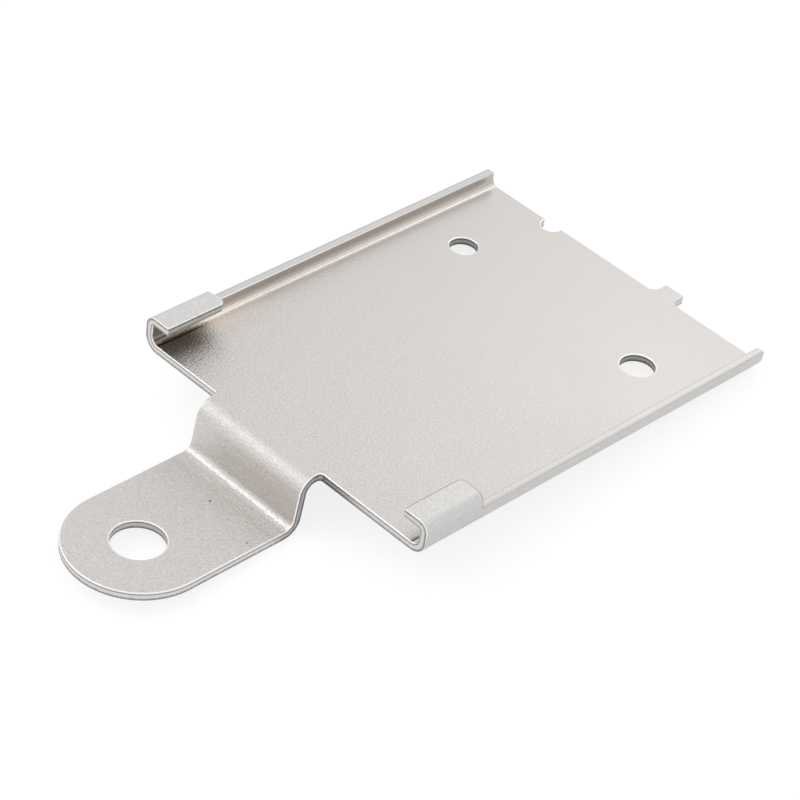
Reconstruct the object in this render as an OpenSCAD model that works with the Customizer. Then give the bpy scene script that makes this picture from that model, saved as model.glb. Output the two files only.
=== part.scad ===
// Mounting plate folded from one piece of nickel plated steel sheet.
// The flat plate has a low flange along each side, and the front end of each flange stands higher
// and is folded inwards as a lip that holds down the edge of a base slid in along the plate.
// A narrower tongue leaves the front edge, steps down and ends in a round eye.
// Seen from the tongue, X runs to the right, Y runs back and Z runs up.
// The origin is the middle of the plate on its underside.

/* [Sheet] */
// Thickness of the sheet
sheet_t = 1.5; // [1:0.1:2]
// Inside radius of the folds between the plate and its flanges
flange_bend_r = 1.4; // [0.8:0.1:1.8]

/* [Plate] */
// Width over the outer faces of the two side flanges
plate_w = 65; // [60:1:100]
// Length of the plate from its front edge to its back edge
plate_len = 80; // [60:1:140]

/* [Side flanges] */
// Height of the low flanges above the top face of the plate
flange_rise = 2.5; // [2:0.1:4]

/* [Lips] */
// Clear height between the plate and the underside of the lips
lip_gap = 3.5; // [3:0.1:10]
// Length of each lip along its flange, from the front edge
lip_len = 12.4; // [8:0.1:30]
// Distance from the outer face of the flange to the free edge of its lip
lip_reach = 5.2; // [4.5:0.1:12]
// Inside radius of the fold between the flange and its lip
lip_bend_r = 0.4; // [0.3:0.1:1]
// Rounding of the rear corner of each lip
lip_corner_r = 1.1; // [0.5:0.1:1.4]

/* [Tongue] */
// Width of the tongue, which is also the diameter of its round end
tongue_w = 24.5; // [18:0.5:34]
// Distance that the tongue sits to the left of the middle of the plate
tongue_shift = 2.7; // [0:0.1:8]
// Depth of the step from the plate down to the tongue
tongue_drop = 9; // [6:0.1:16]
// Slope of the step against the plate in degrees
step_angle = 83; // [60:1:89]
// Inside radius of both folds of the step
step_bend_r = 1.7; // [1:0.1:1.9]
// Flat length of the tongue in front of the plate before the first fold
step_lead = 1; // [0.8:0.1:4]
// Distance from the front edge of the plate to the middle of the eye
eye_run = 26; // [24:0.5:60]
// Diameter of the eye
eye_d = 9; // [5:0.1:12]
// Radius in the corners between the tongue and the front edge of the plate
root_r = 0.6; // [0.3:0.1:0.7]

/* [Fixing holes] */
// Distance between the middles of the two fixing holes
hole_spread = 41; // [24:1:44]
// Distance from the back edge of the plate to the middles of the fixing holes
hole_setback = 18; // [12:0.5:40]
// Diameter of the left hole
left_hole_d = 5; // [3:0.1:8]
// Diameter of the right hole
right_hole_d = 6; // [3:0.1:8]

/* [Back edge] */
// Width of the small tab that stands out behind the back edge
tab_w = 4.2; // [3:0.1:8]
// Length of the tab
tab_len = 3.3; // [3:0.1:8]
// Distance of the tab to the right of the middle of the plate
tab_offset = 10; // [4:0.5:16]
// Rounding of the outer corners of the tab
tab_corner_r = 0.4; // [0.2:0.1:1]
// Radius in the corners where the tab meets the plate
tab_root_r = 1.5; // [0.5:0.1:1.8]
// Width of the notch in the back edge, which is also the diameter of its round end
notch_w = 3.7; // [2:0.1:8]
// Length of the straight sides of the notch
notch_side = 0.5; // [0.5:0.1:3]
// Rounding of the two corners where the notch opens into the back edge
notch_lip_r = 0.4; // [0.2:0.1:0.4]
// Distance of the notch to the left of the middle of the plate
notch_offset = 16; // [10:0.5:20]

/* [Hidden] */
$fn = 96;
right_angle = 90;
// How far a shape that cuts or trims another reaches past it
cut = 1;
// How far the folded sides and the tongue share the metal of the flat plate they grow out of
overlap = 0.5;

flange_bend_out = flange_bend_r + sheet_t;
lip_bend_out = lip_bend_r + sheet_t;
plate_half = plate_w / 2;
web_half = plate_half - flange_bend_out;
flange_straight = flange_rise - flange_bend_r;
lip_wall_straight = lip_gap - flange_bend_r - lip_bend_r;
lip_straight = lip_reach - lip_bend_out;

// A turned shape is written out with six digits for the sine and the cosine of its angle, and their
// squares then add up to a little more or less than one. The slope takes an angle nearby, at most
// 0.02 degrees away, at which they add up to one, so that the riser meets both folds without a step.
function six_decimals(x) = round(x * 1000000) / 1000000;
function size_error(angle) = abs(pow(six_decimals(sin(angle)), 2) + pow(six_decimals(cos(angle)), 2) - 1);
near_angles = [for (k = [-200:200]) step_angle + k / 10000];
near_errors = [for (angle = near_angles) size_error(angle)];
slope = near_angles[search(min(near_errors), near_errors)[0]];

// Both folds of the step turn by the same angle, so their heights and lengths add up
step_fold_sum = 2 * step_bend_r + sheet_t;
step_straight = (tongue_drop - step_fold_sum * (1 - cos(slope))) / sin(slope);
step_run = step_fold_sum * sin(slope) + step_straight * cos(slope);
nose_r = tongue_w / 2;
tongue_straight = eye_run + nose_r + cut - step_lead - step_run;
tab_half = tab_w / 2;
notch_r = notch_w / 2;

// A flat run of the sheet along +X, with the sheet that follows it
module run(length) {
    square([length, sheet_t]);
    translate([length, 0]) children();
}

// A round fold by up to a right angle, which starts straight below its centre. Its end is cut in the
// same turned frame in which the sheet goes on, so that the two meet without a gap.
module fold_ring(angle, inside_r) {
    outside_r = inside_r + sheet_t;
    intersection() {
        difference() {
            circle(r = outside_r);
            circle(r = inside_r);
        }
        translate([0, -outside_r]) square(outside_r);
        rotate(angle) translate([-outside_r, -outside_r]) square(outside_r);
    }
}

// A fold that turns the sheet upwards, with the sheet that follows it
module fold_up(angle, inside_r) {
    centre = [0, sheet_t + inside_r];
    translate(centre) {
        fold_ring(angle, inside_r);
        rotate(angle) translate(-centre) children();
    }
}

// The same fold turned downwards
module fold_down(angle, inside_r) {
    centre = [0, -inside_r];
    translate(centre) {
        mirror([0, 1]) fold_ring(angle, inside_r);
        rotate(-angle) translate(-centre) children();
    }
}

// Section of the low flange, from inside the flat plate outwards
module flange_section() {
    run(overlap) fold_up(right_angle, flange_bend_r) run(flange_straight);
}

// Section of the high flange with its lip folded back over the plate
module lip_section() {
    run(overlap)
        fold_up(right_angle, flange_bend_r)
            run(lip_wall_straight)
                fold_up(right_angle, lip_bend_r) run(lip_straight);
}

// Side view of the tongue, from inside the flat plate outwards
module tongue_section() {
    run(overlap + step_lead)
        fold_down(slope, step_bend_r)
            run(step_straight)
                fold_up(slope, step_bend_r) run(tongue_straight);
}

// The small shape between two edges that leave the origin along +X and +Y and the arc that touches
// both. Added it fills an inner corner, and taken away it rounds an outer one.
module corner_web(r) {
    difference() {
        square(r);
        translate([r, r]) circle(r);
    }
}

// Draws a flat shape on the right and its mirror image on the left
module at_both_sides() {
    children();
    mirror([1, 0]) children();
}

// Top view of the tab, which leaves the back edge at the origin
module tab_outline() {
    difference() {
        at_both_sides() translate([0, -overlap]) square([tab_half, overlap + tab_len]);
        at_both_sides() translate([tab_half, tab_len]) rotate(180) corner_web(tab_corner_r);
    }
    at_both_sides() translate([tab_half, 0]) corner_web(tab_root_r);
}

// Top view of what the notch takes away, with the back edge at the origin
module notch_outline() {
    translate([0, -notch_side]) {
        circle(r = notch_r);
        at_both_sides() square([notch_r, notch_side + cut]);
    }
    at_both_sides() translate([notch_r, 0]) rotate(-right_angle) corner_web(notch_lip_r);
}

// Top view of the flat part between the folds, from its front edge at the origin
module web_outline() {
    difference() {
        union() {
            at_both_sides() square([web_half, plate_len]);
            translate([tab_offset, plate_len]) tab_outline();
            translate([-tongue_shift, 0])
                at_both_sides() translate([nose_r, 0]) rotate(-right_angle) corner_web(root_r);
        }
        translate([-notch_offset, plate_len]) notch_outline();
    }
}

// Stands the section of a fold upright and draws it along the right side, from the front edge back
module along_side(length) {
    translate([web_half - overlap, length, 0])
        rotate([right_angle, 0, 0]) linear_extrude(length) children();
}

// The high front end of one flange, with the rear corner of its lip rounded
module lip() {
    difference() {
        along_side(lip_len) lip_section();
        translate([plate_half - lip_reach, lip_len, sheet_t + lip_gap - cut])
            linear_extrude(sheet_t + 2 * cut) rotate(-right_angle) corner_web(lip_corner_r);
    }
}

module side_fold() {
    along_side(plate_len) flange_section();
    lip();
}

// Top view of the tongue with its round end and its eye, from the front edge at the origin
module tongue_outline() {
    difference() {
        union() {
            at_both_sides() translate([0, -eye_run]) square([nose_r, eye_run + overlap]);
            translate([0, -eye_run]) circle(r = nose_r);
        }
        translate([0, -eye_run]) circle(d = eye_d);
    }
}

// The stepped strip is drawn wider and longer than the tongue and trimmed to its top view
module tongue() {
    translate([-tongue_shift, 0, 0]) intersection() {
        translate([nose_r + cut, overlap, 0]) rotate([right_angle, 0, -right_angle])
            linear_extrude(tongue_w + 2 * cut) tongue_section();
        translate([0, 0, -tongue_drop - cut]) linear_extrude(tongue_drop + sheet_t + 2 * cut)
            tongue_outline();
    }
}

module fixing_hole(x, d) {
    translate([x, plate_len - hole_setback, -cut]) cylinder(d = d, h = sheet_t + 2 * cut);
}

// Built from the front edge of the plate and then moved, so that the origin is the plate's middle
module mounting_plate() {
    color([0.85, 0.83, 0.81]) translate([0, -plate_len / 2, 0]) difference() {
        union() {
            linear_extrude(sheet_t) web_outline();
            side_fold();
            mirror([1, 0, 0]) side_fold();
            tongue();
        }
        fixing_hole(-hole_spread / 2, left_hole_d);
        fixing_hole(hole_spread / 2, right_hole_d);
    }
}

mounting_plate();
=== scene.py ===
import math
import bpy
from mathutils import Matrix, Vector
from mathutils.geometry import delaunay_2d_cdt


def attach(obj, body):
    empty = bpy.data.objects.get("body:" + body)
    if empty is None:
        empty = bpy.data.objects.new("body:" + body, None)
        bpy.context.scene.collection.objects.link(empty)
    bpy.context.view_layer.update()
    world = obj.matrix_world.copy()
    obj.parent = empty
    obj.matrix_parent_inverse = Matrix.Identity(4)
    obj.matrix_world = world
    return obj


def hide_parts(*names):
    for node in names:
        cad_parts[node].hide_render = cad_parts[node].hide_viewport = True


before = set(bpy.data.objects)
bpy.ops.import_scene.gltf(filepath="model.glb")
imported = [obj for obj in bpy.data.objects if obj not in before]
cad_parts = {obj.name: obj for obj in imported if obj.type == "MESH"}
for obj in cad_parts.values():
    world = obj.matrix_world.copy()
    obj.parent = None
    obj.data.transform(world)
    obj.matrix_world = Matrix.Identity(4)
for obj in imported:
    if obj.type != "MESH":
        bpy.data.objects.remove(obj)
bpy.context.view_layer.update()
print("stage 1: frame loaded")

mm = 0.001
quarter = math.pi / 2

# The folded plate, lengths in millimetres, folds by their inside radius
plateSizes = {
    "sheet": 1.5,
    "halfWidth": 32.5,
    "halfLength": 40.0,
    "sideFold": 1.4,
    "sideWall": 1.1,      # flat height of the low flange above its fold
    "hookWall": 1.7,      # flat height of the high flange between its two folds
    "lipFold": 0.4,
    "lipFlat": 3.3,
    "lipLength": 12.4,
    "lipCorner": 1.1,
    "tongueMiddle": -2.7,
    "tongueHalf": 12.25,
    "tongueDrop": 9.0,
    "stepAngle": math.radians(83),
    "stepFold": 1.7,
    "stepLead": 1.0,
    "eyeRun": 26.0,
    "eyeRadius": 4.5,
    "tongueRoot": 0.6,
    "holeSide": 20.5,
    "holeFromBack": 18.0,
    "leftHoleRadius": 2.5,
    "rightHoleRadius": 3.0,
    "tabMiddle": 10.0,
    "tabHalf": 2.1,
    "tabLength": 3.3,
    "tabCorner": 0.4,
    "tabRoot": 1.5,
    "notchMiddle": -16.0,
    "notchRadius": 1.85,
    "notchSide": 0.5,
    "notchCorner": 0.4,
    "punchedCorner": 0.28,  # corners that the punch leaves almost sharp
    "topEdge": 0.2,       # rounding of the rim on the upper face
    "lowEdge": 0.12,      # rounding of the rim on the lower face
    "wornMargin": 0.06,   # how far the painted highlight of the rim fades into the flat face and the cut
    "foldSteps": 14,
    "cornerSteps": 7,
    "middleTimes": 3,     # times as many steps in a corner over the middle radius
    "middleRadius": 1.0,
    "wideRadius": 5.0,    # over this radius a corner gets half of the steps of a full circle
    "roundSteps": 72,
    "normalWeight": 60,
}
size = plateSizes
# Distances in millimetres that count as none
tolerance = {
    "samePlace": 1e-6,
    "onLine": 1e-5,
    "meeting": 1e-7,
    "besideTongue": 0.1,
}
midLayer = size["sheet"] / 2
webHalf = size["halfWidth"] - size["sideFold"] - size["sheet"]
sideArc = (size["sideFold"] + midLayer) * quarter
lipArc = (size["lipFold"] + midLayer) * quarter
stepArc = (size["stepFold"] + midLayer) * size["stepAngle"]
lowFlangeEdge = webHalf + sideArc + size["sideWall"]
lipFoldStart = webHalf + sideArc + size["hookWall"]
lipEdge = lipFoldStart + lipArc + size["lipFlat"]
foldSum = 2 * size["stepFold"] + size["sheet"]
foldsDrop = foldSum * (1 - math.cos(size["stepAngle"]))
riserLength = (size["tongueDrop"] - foldsDrop) / math.sin(size["stepAngle"])
stepRun = foldSum * math.sin(size["stepAngle"]) + riserLength * math.cos(size["stepAngle"])
frontEdge = -size["halfLength"]
backEdge = size["halfLength"]
lowerFoldStart = size["stepLead"] + stepArc + riserLength
flatEye = frontEdge - lowerFoldStart - stepArc - (size["eyeRun"] - size["stepLead"] - stepRun)
lipBack = frontEdge + size["lipLength"]


def foldLines(start, length):
    steps = size["foldSteps"]
    return [start + length * k / steps for k in range(steps + 1)]


sideLines = foldLines(webHalf, sideArc)
lipLines = foldLines(lipFoldStart, lipArc)
stepLines = [frontEdge - a for a in foldLines(size["stepLead"], stepArc) + foldLines(lowerFoldStart, stepArc)]


def blankCorners():
    # corners of the flat blank as (x, y, radius), anticlockwise
    s = size
    sharp = s["punchedCorner"]
    tongueLeft = s["tongueMiddle"] - s["tongueHalf"]
    tongueRight = s["tongueMiddle"] + s["tongueHalf"]
    nose = flatEye - s["tongueHalf"]
    tabLeft = s["tabMiddle"] - s["tabHalf"]
    tabRight = s["tabMiddle"] + s["tabHalf"]
    tabEnd = backEdge + s["tabLength"]
    notchLeft = s["notchMiddle"] - s["notchRadius"]
    notchRight = s["notchMiddle"] + s["notchRadius"]
    notchEnd = backEdge - s["notchSide"] - s["notchRadius"]
    return [
        (tongueRight, nose, s["tongueHalf"]), (tongueRight, frontEdge, s["tongueRoot"]),
        (lipEdge, frontEdge, sharp), (lipEdge, lipBack, s["lipCorner"]),
        (lowFlangeEdge, lipBack, sharp), (lowFlangeEdge, backEdge, sharp),
        (tabRight, backEdge, s["tabRoot"]), (tabRight, tabEnd, s["tabCorner"]),
        (tabLeft, tabEnd, s["tabCorner"]), (tabLeft, backEdge, s["tabRoot"]),
        (notchRight, backEdge, s["notchCorner"]), (notchRight, notchEnd, s["notchRadius"]),
        (notchLeft, notchEnd, s["notchRadius"]), (notchLeft, backEdge, s["notchCorner"]),
        (-lowFlangeEdge, backEdge, sharp), (-lowFlangeEdge, lipBack, sharp),
        (-lipEdge, lipBack, s["lipCorner"]), (-lipEdge, frontEdge, sharp),
        (tongueLeft, frontEdge, s["tongueRoot"]), (tongueLeft, nose, s["tongueHalf"]),
    ]


def crossings(a, b):
    # places along the straight a to b where a fold line meets it
    same = tolerance["samePlace"]
    found = []
    across = sideLines + lipLines
    if abs(a[1] - b[1]) < same:
        low, high = min(a[0], b[0]) + same, max(a[0], b[0]) - same
        found = [(x, a[1]) for x in across + [-x for x in across] if low < x < high]
        found.sort(key=lambda p: p[0], reverse=b[0] < a[0])
    elif abs(a[0] - b[0]) < same:
        low, high = min(a[1], b[1]) + same, max(a[1], b[1]) - same
        if abs(a[0] - size["tongueMiddle"]) < size["tongueHalf"] + same:
            found = [(a[0], y) for y in stepLines if low < y < high]
            found.sort(key=lambda p: p[1], reverse=b[1] < a[1])
    return found


def stepsFor(radius):
    if radius > size["wideRadius"]:
        return size["roundSteps"] // 2
    return size["cornerSteps"] * (size["middleTimes"] if radius > size["middleRadius"] else 1)


def rimOf(corners):
    # points along the outline with their outward normals
    rim = []
    count = len(corners)
    for i, (x, y, radius) in enumerate(corners):
        here = Vector((x, y))
        before = Vector(corners[i - 1][:2])
        after = Vector(corners[(i + 1) % count][:2])
        inward = (here - before).normalized()
        outward = (after - here).normalized()
        turn = inward.x * outward.y - inward.y * outward.x
        bend = 1 if turn > 0 else -1
        centre = here - inward * radius + Vector((-inward.y, inward.x)) * radius * bend
        startNormal = Vector((inward.y, -inward.x))
        steps = stepsFor(radius)
        for k in range(steps + 1):
            angle = quarter * k / steps * bend
            normal = Vector((startNormal.x * math.cos(angle) - startNormal.y * math.sin(angle),
                             startNormal.x * math.sin(angle) + startNormal.y * math.cos(angle)))
            rim.append((centre + normal * radius * bend, normal))
        # the straight to the next corner, with a point at every fold line
        nextRadius = corners[(i + 1) % count][2]
        a = here + outward * radius
        b = after - outward * nextRadius
        sideNormal = Vector((outward.y, -outward.x))
        for p in crossings(a, b):
            rim.append((Vector(p), sideNormal))
    # arcs that meet without a straight share their end point
    clean = []
    for point, normal in rim:
        if not clean or (point - clean[-1][0]).length > tolerance["samePlace"]:
            clean.append((point, normal))
    if (clean[0][0] - clean[-1][0]).length < tolerance["samePlace"]:
        clean.pop()
    return clean


def holeRim(x, y, radius):
    # clockwise, so that the normals point into the hole as the outline's point out of the sheet
    rim = []
    for k in range(size["roundSteps"]):
        angle = -2 * math.pi * k / size["roundSteps"]
        radial = Vector((math.cos(angle), math.sin(angle)))
        rim.append((Vector((x, y)) + radial * radius, -radial))
    return rim


# Painted highlight, darkening and cut of the rims: 1 is a full painted highlight, fully darkened, dark or
# planed; distances in millimetres
rimMarks = {
    "rubbed": (1.0, 1.0, 1.0, 0.5, 0.0),   # share of the painted highlight from the flat face over the rounding to the cut
    "backUpper": 0.2,
    "flangeDull": 0.2,
    "flangeCut": 0.2,
    "backCut": 0.35,
    "leftPlaned": 0.4,
    # less painted shade in the eye than in the other holes
    "eyeBore": 0.45,
    "lipReach": 0.5,
    "flangeReach": 0.01,
    "frontReach": 0.2,
    "backReach": 0.5,
}


def rimProfile():
    # (inset, height, rim share, upper face) from the flat upper face over the rounded rim to the lower face;
    # the rim share is positive on the upper rim and negative on the lower; it weights the painted highlight,
    # and on the lower rim also the darkening
    sheet, top, low, margin = size["sheet"], size["topEdge"], size["lowEdge"], size["wornMargin"]
    rubbed = rimMarks["rubbed"]
    steps = len(rubbed) - 1
    profile = [(top + margin, sheet, 0.0, 1.0)]
    for k, wear in enumerate(rubbed):
        angle = quarter * k / steps
        height = sheet - top * (1 - math.cos(angle))
        profile.append((top * (1 - math.sin(angle)), height, wear, 1 - k / steps))
    for k, wear in enumerate(reversed(rubbed)):
        angle = quarter * k / steps
        profile.append((low * (1 - math.cos(angle)), low * (1 - math.sin(angle)), -wear, 0.0))
    profile.append((low + margin, 0.0, 0.0, 0.0))
    return profile


def rimWear(point):
    # how much painted highlight the upper and the lower rim get there, how much the lower rim is darkened,
    # how dark the cut has stayed and how smooth it was planed
    s = rimMarks
    onLip = abs(point.x) > lipFoldStart - s["lipReach"]
    onFlange = abs(abs(point.x) - lowFlangeEdge) < s["flangeReach"]
    atFront = point.y < frontEdge + s["frontReach"]
    atBack = point.y > backEdge - s["backReach"]
    right = point.x > 0
    upper = s["backUpper"] if atBack else 1.0
    dull = 1.0 if onLip and right and not atFront else s["flangeDull"] if onFlange else 0.0
    lower = 1.0 - dull if onLip else 0.0
    cut = s["flangeCut"] if onFlange else s["backCut"] if atBack else 1.0
    planed = (1.0 if right else s["leftPlaned"]) if onFlange else 0.0
    return upper, lower, dull, cut, planed


def insidePolygon(point, polygon):
    inside = False
    for i, a in enumerate(polygon):
        b = polygon[i - 1]
        if (a.y > point.y) != (b.y > point.y):
            crossing = (b.x - a.x) * (point.y - a.y) / (b.y - a.y) + a.x
            inside = inside != (point.x < crossing)
    return inside


def faceTriangles(loops):
    # triangles of the flat face inside the first loop and outside the others, split along the fold lines
    points = [p for loop in loops for p in loop]
    edges = []
    start = 0
    for loop in loops:
        edges += [(start + k, start + (k + 1) % len(loop)) for k in range(len(loop))]
        start += len(loop)
    outer = loops[0]
    across = sideLines + lipLines
    tongueReach = size["tongueHalf"] + tolerance["besideTongue"]
    for lines, axis in ((across + [-x for x in across], 0), (stepLines, 1)):
        for place in lines:
            onLine = [k for k, p in enumerate(outer) if abs(p[axis] - place) < tolerance["onLine"]]
            if axis == 1:
                onLine = [k for k in onLine if abs(outer[k].x - size["tongueMiddle"]) < tongueReach]
            if len(onLine) == 2:
                edges.append((onLine[0], onLine[1]))
    found = delaunay_2d_cdt(points, edges, [], 0, tolerance["meeting"])
    vertices, triangles, origins = found[0], found[2], found[3]
    if len(vertices) != len(points):
        raise RuntimeError("a fold line crosses the rim away from its points")
    index = {k: origins[k][0] for k in range(len(vertices))}
    kept = []
    for triangle in triangles:
        centre = sum((vertices[k] for k in triangle), Vector((0, 0))) / 3
        if insidePolygon(centre, outer) and not any(insidePolygon(centre, loop) for loop in loops[1:]):
            kept.append([index[k] for k in triangle])
    return kept


def flatBlank():
    s = size
    holeY = backEdge - s["holeFromBack"]
    rims = [
        rimOf(blankCorners()),
        holeRim(-s["holeSide"], holeY, s["leftHoleRadius"]),
        holeRim(s["holeSide"], holeY, s["rightHoleRadius"]),
        holeRim(s["tongueMiddle"], flatEye, s["eyeRadius"]),
    ]
    profile = rimProfile()
    vertices, faces, layers = [], [], []
    marks = {"nearRim": [], "dullRim": [], "upperFace": [], "cutWall": [], "planedWall": [], "boreWall": []}
    for inset, height, wear, upper in profile:
        layers.append(len(vertices))
        for rim in rims:
            # painted shade on the walls of the holes, less in the eye
            bore = 0.0 if inset or rim is rims[0] else rimMarks["eyeBore"] if rim is rims[3] else 1.0
            for point, normal in rim:
                moved = point - normal * inset
                vertices.append((moved.x * mm, moved.y * mm, height * mm))
                onUpper, onLower, dull, cut, planed = rimWear(point)
                onCut = 0.0 if inset else 1.0
                # painted highlight along the rims, and darkening of the lower rim
                worn = wear * onUpper if wear > 0 else -wear * onLower
                for name, value in (("nearRim", worn), ("dullRim", max(-wear, 0.0) * dull),
                                    ("upperFace", upper), ("cutWall", cut * onCut),
                                    ("planedWall", planed * onCut), ("boreWall", bore)):
                    marks[name].append(value)
    for upper, lower in zip(layers, layers[1:]):
        start = 0
        for rim in rims:
            count = len(rim)
            for k in range(count):
                a, b = start + k, start + (k + 1) % count
                faces.append((upper + b, upper + a, lower + a, lower + b))
            start += count
    for layer, inset, flip in ((layers[0], profile[0][0], False), (layers[-1], profile[-1][0], True)):
        loops = [[point - normal * inset for point, normal in rim] for rim in rims]
        for triangle in faceTriangles(loops):
            a, b, c = (layer + k for k in triangle)
            faces.append((a, c, b) if flip else (a, b, c))
    mesh = bpy.data.meshes.new("flatBlank")
    mesh.from_pydata(vertices, [], faces)
    for name, values in marks.items():
        mesh.attributes.new(name, "FLOAT", "POINT").data.foreach_set("value", values)
    mesh.update()
    return mesh


blankMesh = flatBlank()
print("stage 2: flat blank cut,", len(blankMesh.vertices), "points")


# Small helpers for building node trees
def addNode(tree, kind, settings=None, inputs=None):
    node = tree.nodes.new(kind)
    for name, value in (settings or {}).items():
        setattr(node, name, value)
    for key, value in (inputs or {}).items():
        if isinstance(value, bpy.types.NodeSocket):
            tree.links.new(value, node.inputs[key])
        else:
            node.inputs[key].default_value = value
    return node


def calc(tree, operation, a, b=0.0):
    return addNode(tree, "ShaderNodeMath", {"operation": operation}, {0: a, 1: b}).outputs[0]


def newGroup(name, kind, inputs, outputs):
    tree = bpy.data.node_groups.new(name, kind)
    for label, socketType in inputs:
        tree.interface.new_socket(label, in_out="INPUT", socket_type=socketType)
    for label, socketType in outputs:
        tree.interface.new_socket(label, in_out="OUTPUT", socket_type=socketType)
    return tree, tree.nodes.new("NodeGroupInput").outputs, tree.nodes.new("NodeGroupOutput").inputs


def makeFoldGroup():
    # turns what lies past the fold's start; Along runs over the sheet and Height up from its lower face
    number = "NodeSocketFloat"
    tree, given, out = newGroup(
        "foldOnce", "GeometryNodeTree",
        [("Along", number), ("Height", number), ("Fold Start", number), ("Fold Angle", number),
         ("Inside Radius", number), ("Sheet Thickness", number)],
        [("Along", number), ("Height", number)])
    half = calc(tree, "MULTIPLY", given["Sheet Thickness"], 0.5)
    middleRadius = calc(tree, "ADD", given["Inside Radius"], half)
    arc = calc(tree, "MULTIPLY", middleRadius, calc(tree, "ABSOLUTE", given["Fold Angle"]))
    past = calc(tree, "SUBTRACT", given["Along"], given["Fold Start"])
    inFold = calc(tree, "MINIMUM", calc(tree, "MAXIMUM", past, 0.0), arc)
    beyond = calc(tree, "SUBTRACT", past, inFold)
    turn = calc(tree, "MULTIPLY", calc(tree, "DIVIDE", inFold, arc), given["Fold Angle"])
    side = calc(tree, "SIGN", given["Fold Angle"])
    centre = calc(tree, "ADD", half, calc(tree, "MULTIPLY", side, middleRadius))
    fromCentre = calc(tree, "SUBTRACT", given["Height"], centre)
    cosine, sine = calc(tree, "COSINE", turn), calc(tree, "SINE", turn)
    along = calc(tree, "SUBTRACT", calc(tree, "MULTIPLY", beyond, cosine),
                 calc(tree, "MULTIPLY", fromCentre, sine))
    height = calc(tree, "ADD", calc(tree, "MULTIPLY", beyond, sine),
                  calc(tree, "MULTIPLY", fromCentre, cosine))
    tree.links.new(calc(tree, "ADD", given["Fold Start"], along), out["Along"])
    tree.links.new(calc(tree, "ADD", centre, height), out["Height"])
    return tree


def makeFoldTree():
    # folds the flat blank: first the outermost fold of each chain, then the one nearer to the plate
    number = "NodeSocketFloat"
    fold = makeFoldGroup()
    tree, given, out = newGroup(
        "foldSheet", "GeometryNodeTree",
        [("Geometry", "NodeSocketGeometry"), ("Sheet Thickness", number), ("Front Edge", number),
         ("Upper Step Start", number), ("Lower Step Start", number), ("Step Radius", number),
         ("Step Angle", number), ("Side Start", number), ("Side Radius", number), ("Lip Start", number),
         ("Lip Radius", number), ("Flange Angle", number), ("Material", "NodeSocketMaterial")],
        [("Geometry", "NodeSocketGeometry")])

    def folded(along, height, start, angle, radius):
        node = addNode(tree, "GeometryNodeGroup", {"node_tree": fold}, {
            "Along": along, "Height": height, "Fold Start": start, "Fold Angle": angle,
            "Inside Radius": radius, "Sheet Thickness": given["Sheet Thickness"]})
        return node.outputs["Along"], node.outputs["Height"]

    place = tree.nodes.new("GeometryNodeInputPosition").outputs[0]
    x, y, z = addNode(tree, "ShaderNodeSeparateXYZ", inputs={0: place}).outputs
    forward = calc(tree, "SUBTRACT", given["Front Edge"], y)
    downward = calc(tree, "MULTIPLY", given["Step Angle"], -1.0)
    forward, z = folded(forward, z, given["Lower Step Start"], given["Step Angle"], given["Step Radius"])
    forward, z = folded(forward, z, given["Upper Step Start"], downward, given["Step Radius"])
    sideways = calc(tree, "ABSOLUTE", x)
    sideways, z = folded(sideways, z, given["Lip Start"], given["Flange Angle"], given["Lip Radius"])
    sideways, z = folded(sideways, z, given["Side Start"], given["Flange Angle"], given["Side Radius"])
    foldedPlace = addNode(tree, "ShaderNodeCombineXYZ", inputs={
        0: calc(tree, "MULTIPLY", calc(tree, "SIGN", x), sideways),
        1: calc(tree, "SUBTRACT", given["Front Edge"], forward), 2: z}).outputs[0]
    # the material still needs every point's place on the flat blank
    kept = addNode(tree, "GeometryNodeStoreNamedAttribute", {"data_type": "FLOAT_VECTOR", "domain": "POINT"},
                   {"Geometry": given["Geometry"], "Name": "flatPlace", "Value": place}).outputs[0]
    moved = addNode(tree, "GeometryNodeSetPosition",
                    inputs={"Geometry": kept, "Position": foldedPlace}).outputs[0]
    smooth = addNode(tree, "GeometryNodeSetShadeSmooth", inputs={0: moved}).outputs[0]
    real = addNode(tree, "GeometryNodeRealizeInstances", inputs={0: smooth}).outputs[0]
    painted = addNode(tree, "GeometryNodeSetMaterial",
                      inputs={"Geometry": real, "Material": given["Material"]})
    tree.links.new(painted.outputs[0], out["Geometry"])
    return tree


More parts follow.
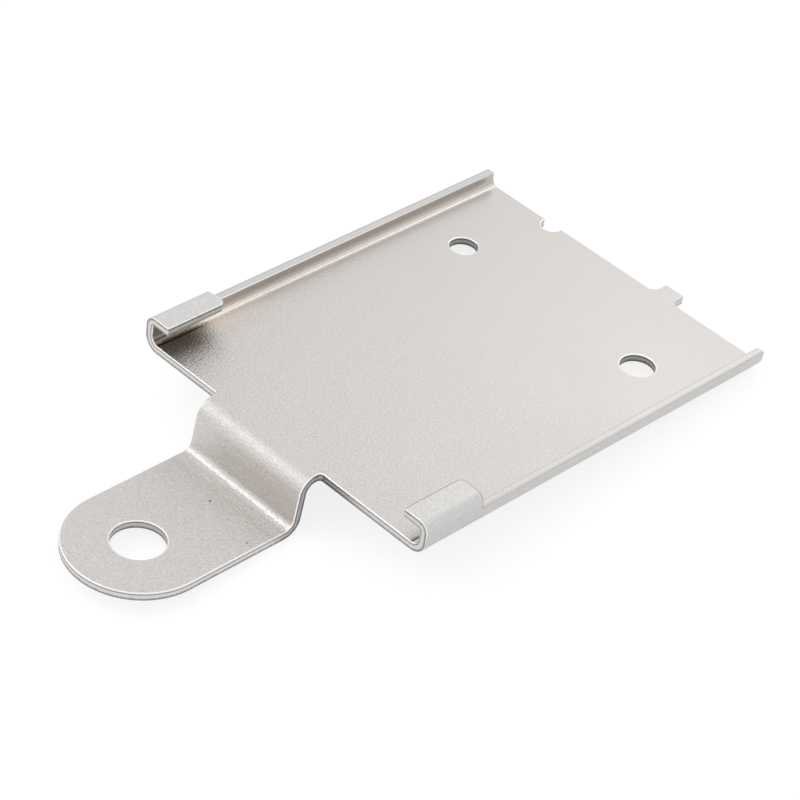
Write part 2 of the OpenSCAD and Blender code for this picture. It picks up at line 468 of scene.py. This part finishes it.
# Satin nickel on sheet steel, colours linear. A share says how far a colour covers what lies under it;
# where it has two values, it is the first, and more by the second as the grain or the cut's line grows.
nickel = {
    "color": (0.690, 0.660, 0.638),
    "pitColor": (0.575, 0.546, 0.525),
    "outerColor": (0.636, 0.630, 0.624),
    "lipColor": (0.72, 0.704, 0.69),
    "outerPits": 0.85,
    # painted highlight on the rims and in the folds
    "wornColor": (0.93, 0.92, 0.905),
    "wornShare": 0.9,
    "rubbedShare": (0.25, 0.6),
    # painted shade under the left lip, on the inner walls and on the riser, warmer near the left wall
    "stainColor": (0.29, 0.262, 0.235),
    "warmStainColor": (0.345, 0.285, 0.225),
    # painted light by the foot of the left wall
    "warmTint": (0.86, 0.765, 0.67),
    "warmTintShare": 0.65,
    # dark colour of the painted shade in the creases and in the hook, and of the darkened lower rims
    "creaseColor": (0.07, 0.062, 0.055),
    # painted shade in the hook under the left lip
    "hookStainShare": 0.47,
    "dullRimShare": 0.9,
    "pinHoleColor": (0.10, 0.09, 0.08),
    "pinHoleShare": 0.8,
    "cutLightColor": (0.69, 0.684, 0.676),
    "cutLightShare": 0.8,
    "cutColor": (0.22, 0.215, 0.21),
    "cutShare": 0.8,
    "planedColor": (0.65, 0.628, 0.608),
    # dark colour of the painted shade in the holes and on the cut edges right of the step
    "boreColor": (0.12, 0.112, 0.105),
    "boreShare": (0.65, 0.3),
    "tornShare": (0.48, 0.42),
    "roughness": 0.36,
    "roughnessSpread": 0.03,
    "polishSmooth": 0.1,
    "polishPart": 0.3,
    "cutRough": 0.12,
    "grainDepth": 0.5,
    "rollDepth": 0.15,
    "bumpDistance": 0.00009,
}

# The matt grain and the lines of the rolled sheet, scales per metre
grainLook = {
    "scale": 2700.0,
    "detail": 2.0,
    "roughness": 0.7,
    "cloudScale": 60.0,
    "cloudDetail": 3.0,
    "range": (0.3, 0.7),
    "rollScale": 1100.0,
    "rollStretch": 0.015,
    "frontCoarse": 1.25,
    "backCoarse": 0.25,
    "evenFrom": 0.6,      # share of the back edge's distance from which the grain is finest
}


def ramp(tree, value, low=0.0, high=1.0, least=0.0, most=1.0, smooth=False):
    kind = {"interpolation_type": "SMOOTHSTEP" if smooth else "LINEAR"}
    return addNode(tree, "ShaderNodeMapRange", kind, {
        "Value": value, "From Min": low, "From Max": high, "To Min": least, "To Max": most}).outputs[0]


def noise(tree, vector, scale, detail=2.0, roughness=0.5):
    return addNode(tree, "ShaderNodeTexNoise", inputs={
        "Vector": vector, "Scale": scale, "Detail": detail, "Roughness": roughness}).outputs[0]


def product(tree, first, *others):
    for other in others:
        first = calc(tree, "MULTIPLY", first, other)
    return first


def makeGrainGroup():
    # matt plating: fine pits, and slow clouds in how matt it is
    s = grainLook
    number = "NodeSocketFloat"
    tree, given, out = newGroup(
        "platingGrain", "ShaderNodeTree",
        [("Vector", "NodeSocketVector"), ("Grain Scale", number), ("Cloud Scale", number)],
        [("Pits", number), ("Cloud", number)])
    pits = noise(tree, given["Vector"], given["Grain Scale"], s["detail"], s["roughness"])
    cloud = noise(tree, given["Vector"], given["Cloud Scale"], s["cloudDetail"])
    tree.links.new(ramp(tree, pits, *s["range"]), out["Pits"])
    tree.links.new(ramp(tree, cloud, *s["range"]), out["Cloud"])
    return tree


def makeRollGroup():
    # faint lines of the rolled sheet, which run along the blank and round its folds
    number = "NodeSocketFloat"
    tree, given, out = newGroup(
        "rollingLines", "ShaderNodeTree",
        [("Vector", "NodeSocketVector"), ("Line Scale", number), ("Stretch", number)], [("Lines", number)])
    lengthened = addNode(tree, "ShaderNodeCombineXYZ", inputs={0: 1.0, 1: given["Stretch"], 2: 1.0})
    drawn = addNode(tree, "ShaderNodeVectorMath", {"operation": "MULTIPLY"},
                    {0: given["Vector"], 1: lengthened.outputs[0]})
    tree.links.new(noise(tree, drawn.outputs[0], given["Line Scale"]), out["Lines"])
    return tree


# Painted shade under the left lip, on the inner walls and on the riser, and painted light by the foot of the
# left wall, in metres on the flat blank; its borders waver with the grain
stainLook = {
    "cloudScale": 420.0,
    "cloudDetail": 3.0,
    "cloudWaver": 0.5,
    "fineScale": 2600.0,
    "fineDetail": 1.0,
    "fineWaver": 3.2,
    "mottled": (0.35, 0.65, 0.75, 1.15),
    "lipSide": 0.0217,
    "lipSideSoft": 0.007,
    "lipBack": 0.0314,
    "lipBackSoft": 0.0026,
    "lipAmount": 0.53,
    "wallStart": 0.44,    # share of the side fold
    "wallSoft": 0.0004,
    "wallFront": 0.03,
    "wallFrontMore": 0.35,
    "wallAmount": 0.42,
    "riserWaver": 0.3,
    "riserPastFold": 0.0003,
    "riserSoft": 0.0022,
    "riserEnd": 0.8,      # share of the lower fold
    "riserEndSoft": 0.0012,
    "riserLeft": -0.0115,
    "riserLeftSoft": 0.006,
    "riserAmount": 0.17,
    "warmWidth": 0.0035,
    "footStart": 0.012,
    "footSoft": 0.014,
}


def makeStainGroup():
    # masks of painted shade, darkest under the left lip, less on the inner walls and on the riser and warmer
    # near the left wall, of painted light by the foot of the left wall, and of painted shade in the hook
    s = stainLook
    number = "NodeSocketFloat"
    labels = ("Lip Side", "Side Soft", "Lip Back", "Back Soft", "Wall Side", "Foot Side", "Hook Back",
              "Riser Start", "Riser End", "Riser Left", "Lip Amount", "Wall Amount", "Riser Amount")
    tree, given, out = newGroup(
        "thinPlating", "ShaderNodeTree",
        [("Vector", "NodeSocketVector")] + [(label, number) for label in labels],
        [("Stain", number), ("Warm", number), ("Foot", number), ("Hook", number)])
    x, y = addNode(tree, "ShaderNodeSeparateXYZ", inputs={0: given["Vector"]}).outputs[:2]
    leftward = calc(tree, "MULTIPLY", x, -1.0)
    forward = calc(tree, "MULTIPLY", y, -1.0)
    cloud = noise(tree, given["Vector"], s["cloudScale"], s["cloudDetail"])
    fine = noise(tree, given["Vector"], s["fineScale"], s["fineDetail"])
    waver = calc(tree, "ADD", product(tree, calc(tree, "SUBTRACT", cloud, 0.5), s["cloudWaver"]),
                 product(tree, calc(tree, "SUBTRACT", fine, 0.5), s["fineWaver"]))
    riserWaver = calc(tree, "MULTIPLY", waver, s["riserWaver"])

    def rise(value, start, soft, uneven=0.0):
        share = calc(tree, "DIVIDE", calc(tree, "SUBTRACT", value, start), soft)
        return ramp(tree, calc(tree, "ADD", share, uneven), smooth=True)

    near = rise(leftward, given["Lip Side"], given["Side Soft"], waver)
    front = rise(forward, given["Lip Back"], given["Back Soft"], waver)
    underLip = product(tree, near, front, ramp(tree, fine, *s["mottled"]), given["Lip Amount"])
    wall = rise(calc(tree, "ABSOLUTE", x), given["Wall Side"], s["wallSoft"])
    atFront = product(tree, rise(forward, 0.0, s["wallFront"]), s["wallFrontMore"])
    onWall = product(tree, wall, given["Wall Amount"], calc(tree, "ADD", 1.0, atFront))
    down = rise(forward, given["Riser Start"], s["riserSoft"], riserWaver)
    before = rise(y, calc(tree, "MULTIPLY", given["Riser End"], -1.0), s["riserEndSoft"])
    rightward = rise(x, given["Riser Left"], s["riserLeftSoft"], riserWaver)
    onRiser = product(tree, down, before, rightward, given["Riser Amount"])
    inHook = product(tree, calc(tree, "LESS_THAN", y, given["Hook Back"]), calc(tree, "LESS_THAN", x, 0.0))
    warm = rise(leftward, calc(tree, "SUBTRACT", given["Foot Side"], s["warmWidth"]), s["warmWidth"])
    # painted light by the foot of the left wall
    foot = product(tree, warm, rise(forward, s["footStart"], s["footSoft"]))
    # painted shade under the left lip, on the inner walls and on the riser
    stain = calc(tree, "MAXIMUM", calc(tree, "MAXIMUM", underLip, onWall), onRiser)
    # painted shade in the hook under the left lip
    hook = product(tree, wall, inHook)
    for label, value in (("Stain", stain), ("Warm", warm), ("Foot", foot), ("Hook", hook)):
        tree.links.new(value, out[label])
    return tree


# Painted highlight lines along the inside of the folds and painted shade in their creases, as shares of the
# fold's length, and how strong they are
pressedLines = {
    "side": {"First Line": 0.28, "Second Line": 0.50, "Second Amount": 0.5,
             "Crease Line": 0.14, "Other Crease": 0.14, "Line Width": 0.085},
    "hook": {"First Line": 0.27, "Second Line": 0.27, "Second Amount": 1.0,
             "Crease Line": 0.02, "Other Crease": 0.52, "Line Width": 0.15},
    "step": {"First Line": 0.64, "Second Line": 0.97, "Second Amount": 1.0,
             "Crease Line": 0.2, "Other Crease": 0.2, "Line Width": 0.21},
    "besideStep": {"First Line": 1.2, "Second Line": 1.2, "Second Amount": 1.0,
                   "Crease Line": 1.2, "Other Crease": 1.2, "Line Width": 0.5},
}
pressedAmounts = {
    "sideCrease": 0.18,
    "hookCrease": 0.92,
    "stepCrease": 0.1,
    "besideStep": 0.5,
    "hookFade": 5.0,      # millimetres over which the lines of the lips pass into those of the flanges
}


def makePressGroup():
    # two painted highlight lines along the inside of a fold, and painted shade in the creases beside them
    number = "NodeSocketFloat"
    labels = ("Place", "Fold Start", "Fold Length", "First Line", "Second Line", "Second Amount",
              "Crease Line", "Other Crease", "Line Width")
    tree, given, out = newGroup("pressedFold", "ShaderNodeTree", [(label, number) for label in labels],
                                [("Polish", number), ("Crease", number)])
    past = calc(tree, "SUBTRACT", given["Place"], given["Fold Start"])
    share = calc(tree, "DIVIDE", past, given["Fold Length"])

    def line(centre):
        apart = calc(tree, "ABSOLUTE", calc(tree, "SUBTRACT", share, centre))
        return ramp(tree, calc(tree, "DIVIDE", apart, given["Line Width"]), 1.0, 0.0, smooth=True)

    second = product(tree, line(given["Second Line"]), given["Second Amount"])
    creases = calc(tree, "MAXIMUM", line(given["Crease Line"]), line(given["Other Crease"]))
    tree.links.new(calc(tree, "MAXIMUM", line(given["First Line"]), second), out["Polish"])
    tree.links.new(creases, out["Crease"])
    return tree


# The punched edge, its heights as shares of the sheet's thickness
cutLook = {
    "streakScale": 2400.0,
    "streakStretch": (1.0, 1.0, 0.12),
    "streakWaver": 0.3,
    "broken": (0.42, 0.2),
    "lineHeight": 0.81,
    "line": (0.13, 0.03),
    # where the painted shade on the cut edges right of the step lies
    "tornAhead": 5.5,     # millimetres in front of the corner beside the tongue
    "tornRadius": 9.0,
}


def makeCutGroup():
    # a punched edge is dark in a line below its rim, smooth and light in its middle, and breaks off rough
    # and dark towards the lower face
    s = cutLook
    number = "NodeSocketFloat"
    tree, given, out = newGroup(
        "punchedEdge", "ShaderNodeTree",
        [("Vector", "NodeSocketVector"), ("Height", number), ("Sheet Thickness", number),
         ("Streak Scale", number)],
        [("Dark", number)])
    upright = addNode(tree, "ShaderNodeVectorMath", {"operation": "MULTIPLY"},
                      {0: given["Vector"], 1: s["streakStretch"]}).outputs[0]
    streaks = calc(tree, "SUBTRACT", noise(tree, upright, given["Streak Scale"]), 0.5)
    share = calc(tree, "DIVIDE", given["Height"], given["Sheet Thickness"])
    uneven = calc(tree, "ADD", share, product(tree, streaks, s["streakWaver"]))
    away = calc(tree, "ABSOLUTE", calc(tree, "SUBTRACT", share, s["lineHeight"]))
    dark = calc(tree, "MAXIMUM", ramp(tree, uneven, *s["broken"], smooth=True),
                ramp(tree, away, *s["line"], smooth=True))
    tree.links.new(dark, out["Dark"])
    return tree


# Pin holes in the plating
pinHoles = {
    "places": (  # from the middle of the eye, and radius, in millimetres
        (-0.4, 15.1, 0.24), (10.5, 13.1, 0.18), (11.3, 13.0, 0.12),
    ),
    "raggedScale": 5000.0,
    "edge": (1.2, 0.7),
}


def makeHoleGroup():
    # a ragged round spot
    number = "NodeSocketFloat"
    tree, given, out = newGroup(
        "pinHole", "ShaderNodeTree",
        [("Vector", "NodeSocketVector"), ("Place", "NodeSocketVector"), ("Radius", number)],
        [("Hole", number)])
    flattened = addNode(tree, "ShaderNodeVectorMath", {"operation": "MULTIPLY"},
                        {0: given["Vector"], 1: (1.0, 1.0, 0.0)}).outputs[0]
    apart = addNode(tree, "ShaderNodeVectorMath", {"operation": "DISTANCE"},
                    {0: flattened, 1: given["Place"]}).outputs["Value"]
    ragged = calc(tree, "SUBTRACT", noise(tree, given["Vector"], pinHoles["raggedScale"]), 0.5)
    share = calc(tree, "ADD", calc(tree, "DIVIDE", apart, given["Radius"]), ragged)
    tree.links.new(ramp(tree, share, *pinHoles["edge"], smooth=True), out["Hole"])
    return tree


def blend(tree, factor, first, second):
    # colours from the settings have three values, the node takes four
    first, second = ((*c, 1.0) if isinstance(c, tuple) else c for c in (first, second))
    return addNode(tree, "ShaderNodeMix", {"data_type": "RGBA"}, {0: factor, 6: first, 7: second}).outputs[2]


def useGroup(tree, made, inputs):
    return addNode(tree, "ShaderNodeGroup", {"node_tree": made}, inputs).outputs


def foldMarks(tree, x, y):
    # the painted highlights and the painted crease shade of all the folds
    amounts = pressedAmounts
    press = makePressGroup()
    across = {"Place": calc(tree, "ABSOLUTE", x), "Fold Start": webHalf * mm, "Fold Length": sideArc * mm}
    along = {"Place": calc(tree, "SUBTRACT", frontEdge * mm, y), "Fold Start": lowerFoldStart * mm,
             "Fold Length": stepArc * mm}
    side = useGroup(tree, press, {**across, **pressedLines["side"]})
    hook = useGroup(tree, press, {**across, **pressedLines["hook"]})
    step = useGroup(tree, press, {**along, **pressedLines["step"]})
    beside = useGroup(tree, press, {**along, **pressedLines["besideStep"]})
    inHook = ramp(tree, y, lipBack * mm, (lipBack - amounts["hookFade"]) * mm, smooth=True)
    outside = calc(tree, "SUBTRACT", 1.0, inHook)
    sidePolish = calc(tree, "ADD", product(tree, side["Polish"], outside),
                      product(tree, hook["Polish"], inHook))
    stepPolish = calc(tree, "MAXIMUM", step["Polish"], product(tree, beside["Polish"], amounts["besideStep"]))
    sideCrease = calc(tree, "ADD", product(tree, side["Crease"], outside, amounts["sideCrease"]),
                      product(tree, hook["Crease"], inHook, amounts["hookCrease"]))
    stepCrease = product(tree, step["Crease"], amounts["stepCrease"])
    return calc(tree, "MAXIMUM", sidePolish, stepPolish), calc(tree, "MAXIMUM", sideCrease, stepCrease)


def pinHoleMarks(tree, flat, spot):
    holes = 0.0
    for right, back, radius in pinHoles["places"]:
        place = ((size["tongueMiddle"] + right) * mm, (flatEye + back) * mm, 0.0)
        hole = useGroup(tree, spot, {"Vector": flat, "Place": place, "Radius": radius * mm})[0]
        holes = calc(tree, "MAXIMUM", holes, hole)
    return holes


def plateMarks(tree):
    # everything that sets one place of the plate apart from another
    def mark(name, output="Fac"):
        return addNode(tree, "ShaderNodeAttribute", {"attribute_name": name}).outputs[output]

    grain, stain, cut = grainLook, stainLook, cutLook
    place = addNode(tree, "ShaderNodeTexCoord").outputs["Object"]
    flat = mark("flatPlace", "Vector")
    x, y, z = addNode(tree, "ShaderNodeSeparateXYZ", inputs={0: flat}).outputs
    drawn = ("nearRim", "dullRim", "upperFace", "cutWall", "planedWall", "boreWall")
    m = {name: mark(name) for name in drawn}
    upper = m["upperFace"]
    made = useGroup(tree, makeGrainGroup(), {
        "Vector": place, "Grain Scale": grain["scale"], "Cloud Scale": grain["cloudScale"]})
    m["pits"], m["cloud"] = made["Pits"], made["Cloud"]
    m["coarse"] = ramp(tree, y, frontEdge * mm, grain["evenFrom"] * backEdge * mm,
                       grain["frontCoarse"], grain["backCoarse"])
    m["lines"] = useGroup(tree, makeRollGroup(), {
        "Vector": flat, "Line Scale": grain["rollScale"], "Stretch": grain["rollStretch"]})["Lines"]
    # masks of painted shade and of painted light by the left wall
    made = useGroup(tree, makeStainGroup(), {
        "Vector": flat, "Lip Side": stain["lipSide"], "Side Soft": stain["lipSideSoft"],
        "Lip Back": stain["lipBack"], "Back Soft": stain["lipBackSoft"],
        "Wall Side": (webHalf + stain["wallStart"] * sideArc) * mm, "Foot Side": webHalf * mm,
        "Hook Back": lipBack * mm,
        "Riser Start": (-frontEdge + size["stepLead"] + stepArc) * mm + stain["riserPastFold"],
        "Riser End": (-frontEdge + lowerFoldStart + stain["riserEnd"] * stepArc) * mm,
        "Riser Left": stain["riserLeft"], "Lip Amount": stain["lipAmount"],
        "Wall Amount": stain["wallAmount"], "Riser Amount": stain["riserAmount"]})
    m["warm"] = made["Warm"]
    for name in ("Stain", "Foot", "Hook"):
        m[name.lower()] = product(tree, made[name], upper)
    spot = makeHoleGroup()
    m["pinHoles"] = pinHoleMarks(tree, flat, spot)
    polish, crease = foldMarks(tree, x, y)
    m["polish"], m["crease"] = product(tree, polish, upper), product(tree, crease, upper)
    m["cutDark"] = useGroup(tree, makeCutGroup(), {
        "Vector": place, "Height": z, "Sheet Thickness": size["sheet"] * mm,
        "Streak Scale": cut["streakScale"]})["Dark"]
    m["dark"] = product(tree, m["cutDark"], m["cutWall"])
    # painted shade on the cut edges in the corner to the right of the step
    corner = ((size["tongueMiddle"] + size["tongueHalf"]) * mm, (frontEdge - cut["tornAhead"]) * mm, 0.0)
    torn = useGroup(tree, spot, {"Vector": flat, "Place": corner, "Radius": cut["tornRadius"] * mm})[0]
    m["torn"] = product(tree, torn, m["cutWall"])
    m["onLip"] = ramp(tree, calc(tree, "ABSOLUTE", x), lipFoldStart * mm, (lipFoldStart + lipArc) * mm,
                      smooth=True)
    return m


def growing(tree, value, share):
    # a share that grows with the value
    return calc(tree, "ADD", product(tree, value, share[1]), share[0])


def plateColour(tree, m):
    s = nickel
    # the matt grain is coarser on the tongue than at the back of the plate
    grain = product(tree, calc(tree, "SUBTRACT", m["pits"], 0.5), m["coarse"])
    inner = blend(tree, calc(tree, "ADD", grain, 0.5), s["pitColor"], s["color"])
    # the outer faces are more neutral, and the lips lighter than the flanges
    outer = addNode(tree, "ShaderNodeVectorMath", {"operation": "SCALE"}, {
        0: blend(tree, m["onLip"], s["outerColor"], s["lipColor"]),
        "Scale": ramp(tree, m["pits"], least=s["outerPits"])}).outputs[0]
    dullness = blend(tree, m["warm"], s["stainColor"], s["warmStainColor"])
    layers = (
        (m["upperFace"], inner),
        # painted light by the foot of the left wall
        (product(tree, m["foot"], s["warmTintShare"]), s["warmTint"]),
        # painted shade under the left lip, on the inner walls and on the riser
        (m["stain"], dullness),
        # painted shade in the hook under the left lip
        (product(tree, m["hook"], s["hookStainShare"]), s["creaseColor"]),
        (product(tree, m["pinHoles"], s["pinHoleShare"]), s["pinHoleColor"]),
        # painted shade in the creases of the folds
        (m["crease"], s["creaseColor"]),
        # painted highlight lines in the folds
        (product(tree, m["polish"], growing(tree, m["pits"], s["rubbedShare"])), s["wornColor"]),
        (product(tree, m["cutWall"], s["cutLightShare"]), s["cutLightColor"]),
        (m["planedWall"], s["planedColor"]),
        (product(tree, m["dark"], s["cutShare"]), s["cutColor"]),
        # painted shade on the cut edges right of the step
        (product(tree, m["torn"], growing(tree, m["cutDark"], s["tornShare"])), s["boreColor"]),
        # painted shade on the walls of the holes
        (product(tree, m["boreWall"], growing(tree, m["cutDark"], s["boreShare"])), s["boreColor"]),
        # darkened lower rim of the right lip and, less, of the flanges
        (product(tree, m["dullRim"], s["dullRimShare"]), s["creaseColor"]),
        # painted highlight along the rounded rims
        (product(tree, m["nearRim"], s["wornShare"]), s["wornColor"]),
    )
    colour = outer
    for share, laid in layers:
        colour = blend(tree, share, colour, laid)
    return colour


def makeNickel():
    s = nickel
    material = bpy.data.materials.new("satinNickel")
    material.use_nodes = True
    tree = material.node_tree
    shader = tree.nodes["Principled BSDF"]
    shader.inputs["Metallic"].default_value = 1.0
    m = plateMarks(tree)
    tree.links.new(plateColour(tree, m), shader.inputs["Base Color"])
    cloudy = ramp(tree, m["cloud"], least=s["roughness"] - s["roughnessSpread"],
                  most=s["roughness"] + s["roughnessSpread"])
    smoother = product(tree, calc(tree, "ADD", m["nearRim"], product(tree, m["polish"], s["polishPart"])),
                       s["polishSmooth"])
    rough = calc(tree, "ADD", calc(tree, "SUBTRACT", cloudy, smoother),
                 product(tree, m["dark"], s["cutRough"]))
    tree.links.new(rough, shader.inputs["Roughness"])
    height = calc(tree, "ADD", product(tree, m["pits"], m["coarse"], s["grainDepth"]),
                  product(tree, m["lines"], s["rollDepth"]))
    bump = addNode(tree, "ShaderNodeBump", inputs={
        "Strength": 1.0, "Distance": s["bumpDistance"], "Height": height})
    tree.links.new(bump.outputs[0], shader.inputs["Normal"])
    return material


def plainMesh(thing, name):
    graph = bpy.context.evaluated_depsgraph_get()
    mesh = bpy.data.meshes.new_from_object(
        thing.evaluated_get(graph), preserve_all_data_layers=True, depsgraph=graph)
    mesh.name = name
    return mesh


def makePlate(material):
    s = size
    tree = makeFoldTree()
    blank = bpy.data.objects.new("flatBlank", blankMesh)
    bpy.context.scene.collection.objects.link(blank)
    fold = blank.modifiers.new("fold", "NODES")
    fold.node_group = tree
    values = {
        "Sheet Thickness": s["sheet"] * mm, "Front Edge": frontEdge * mm,
        "Upper Step Start": s["stepLead"] * mm, "Lower Step Start": lowerFoldStart * mm,
        "Step Radius": s["stepFold"] * mm, "Step Angle": s["stepAngle"],
        "Side Start": webHalf * mm, "Side Radius": s["sideFold"] * mm,
        "Lip Start": lipFoldStart * mm, "Lip Radius": s["lipFold"] * mm,
        "Flange Angle": quarter, "Material": material,
    }
    for socket in tree.interface.items_tree:
        if socket.name in values:
            fold[socket.identifier] = values[socket.name]
    even = blank.modifiers.new("evenShading", "WEIGHTED_NORMAL")
    even.mode = "FACE_AREA"
    even.weight = s["normalWeight"]
    mesh = plainMesh(blank, "foldedPlate")
    plate = bpy.data.objects.new("foldedPlate", mesh)
    bpy.context.scene.collection.objects.link(plate)
    bpy.data.objects.remove(blank)
    return plate


satinNickel = makeNickel()
plate = makePlate(satinNickel)
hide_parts("mounting_plate")
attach(plate, "root")
print("stage 3: plate folded,", len(plate.data.polygons), "faces")


# The floor touches the plate where the real one rests: under the lower fold and under the tab's end
studio = {
    "floorSize": 6.0,
    "floorColor": (0.42, 0.42, 0.42),
    "floorGlow": 0.72,
    "skyLight": 0.72,
    "skyShown": 1.0,
    "lamps": (  # name, place, width, shine beside that of the white surroundings
        ("frontLamp", (-0.36, -0.36, 0.45), 0.48, 0.86),
        ("sideLamp", (-0.06, 0.19, 0.21), 0.18, 0.46),
    ),
}


def makeFloor():
    s = size
    outside = (s["stepFold"] + s["sheet"]) * mm
    foldCentre = Vector((frontEdge * mm - stepRun * mm, -s["tongueDrop"] * mm + outside))
    tabEnd = Vector(((backEdge + s["tabLength"]) * mm, 0.0))
    reach = tabEnd - foldCentre
    slope = math.asin(outside / reach.length) + math.atan2(reach.y, reach.x)
    half = studio["floorSize"] / 2
    turn = Matrix.Rotation(slope, 3, "X")
    base = Vector((0, tabEnd.x, 0))
    square = ((-half, -half), (half, -half), (half, half), (-half, half))
    corners = [base + turn @ Vector((x, y, 0)) for x, y in square]
    mesh = bpy.data.meshes.new("studioFloor")
    mesh.from_pydata([tuple(c) for c in corners], [], [(0, 1, 2, 3)])
    floor = bpy.data.objects.new("studioFloor", mesh)
    bpy.context.scene.collection.objects.link(floor)
    material = bpy.data.materials.new("whiteFloor")
    material.use_nodes = True
    tree = material.node_tree
    shader = tree.nodes["Principled BSDF"]
    shader.inputs["Base Color"].default_value = (*studio["floorColor"], 1.0)
    shader.inputs["Roughness"].default_value = 1.0
    shader.inputs["Specular IOR Level"].default_value = 0.0
    shader.inputs["Emission Color"].default_value = (1.0, 1.0, 1.0, 1.0)
    glow = calc(tree, "MULTIPLY", shownRay(tree), studio["floorGlow"])
    tree.links.new(glow, shader.inputs["Emission Strength"])
    mesh.materials.append(material)
    return math.degrees(slope)


def shownRay(tree):
    # 1 for what the camera sees, directly or in the metal
    path = addNode(tree, "ShaderNodeLightPath").outputs
    return calc(tree, "MAXIMUM", path["Is Camera Ray"],
                calc(tree, "MAXIMUM", path["Is Glossy Ray"], path["Is Transmission Ray"]))


def makeLight():
    world = bpy.data.worlds.new("studioSky")
    bpy.context.scene.world = world
    world.use_nodes = True
    tree = world.node_tree
    tree.nodes.clear()
    strength = addNode(tree, "ShaderNodeMapRange", inputs={
        "Value": shownRay(tree), "To Min": studio["skyLight"], "To Max": studio["skyShown"]})
    sky = addNode(tree, "ShaderNodeBackground",
                  inputs={"Color": (1, 1, 1, 1), "Strength": strength.outputs[0]})
    output = addNode(tree, "ShaderNodeOutputWorld")
    tree.links.new(sky.outputs[0], output.inputs[0])
    for name, place, width, shine in studio["lamps"]:
        lamp = bpy.data.lights.new(name, "AREA")
        lamp.shape = "DISK"
        lamp.size = width
        # a disk that looks white gives off pi times its area
        lamp.energy = shine * math.pi * math.pi * width ** 2 / 4
        thing = bpy.data.objects.new(name, lamp)
        thing.location = place
        thing.rotation_euler = (-Vector(place)).to_track_quat("-Z", "Y").to_euler()
        bpy.context.scene.collection.objects.link(thing)


# The photograph's camera, its place in metres and its axes in the frame of the plate
view = {
    "place": (0.2530919, -0.3105908, 0.3014709),
    "right": (0.692902, 0.711028, 0.119694),
    "down": (0.508876, -0.364632, -0.779800),
    "forward": (-0.510815, 0.601234, -0.614479),
    "lens": 136.548,
    "sensor": 36.0,
    "clipStart": 0.01,
}


def makeCamera():
    data = bpy.data.cameras.new("photoCamera")
    data.sensor_width = view["sensor"]
    data.lens = view["lens"]
    data.clip_start = view["clipStart"]
    camera = bpy.data.objects.new("photoCamera", data)
    right, down, forward = (Vector(view[key]) for key in ("right", "down", "forward"))
    turn = Matrix((right, -down, -forward)).transposed().to_4x4()
    camera.matrix_world = Matrix.Translation(view["place"]) @ turn
    bpy.context.scene.collection.objects.link(camera)
    bpy.context.scene.camera = camera


print("stage 4: floor sloped by", round(makeFloor(), 2), "degrees")
makeLight()
makeCamera()
bpy.context.scene.view_settings.view_transform = "Standard"
print("stage 5: light and camera set")
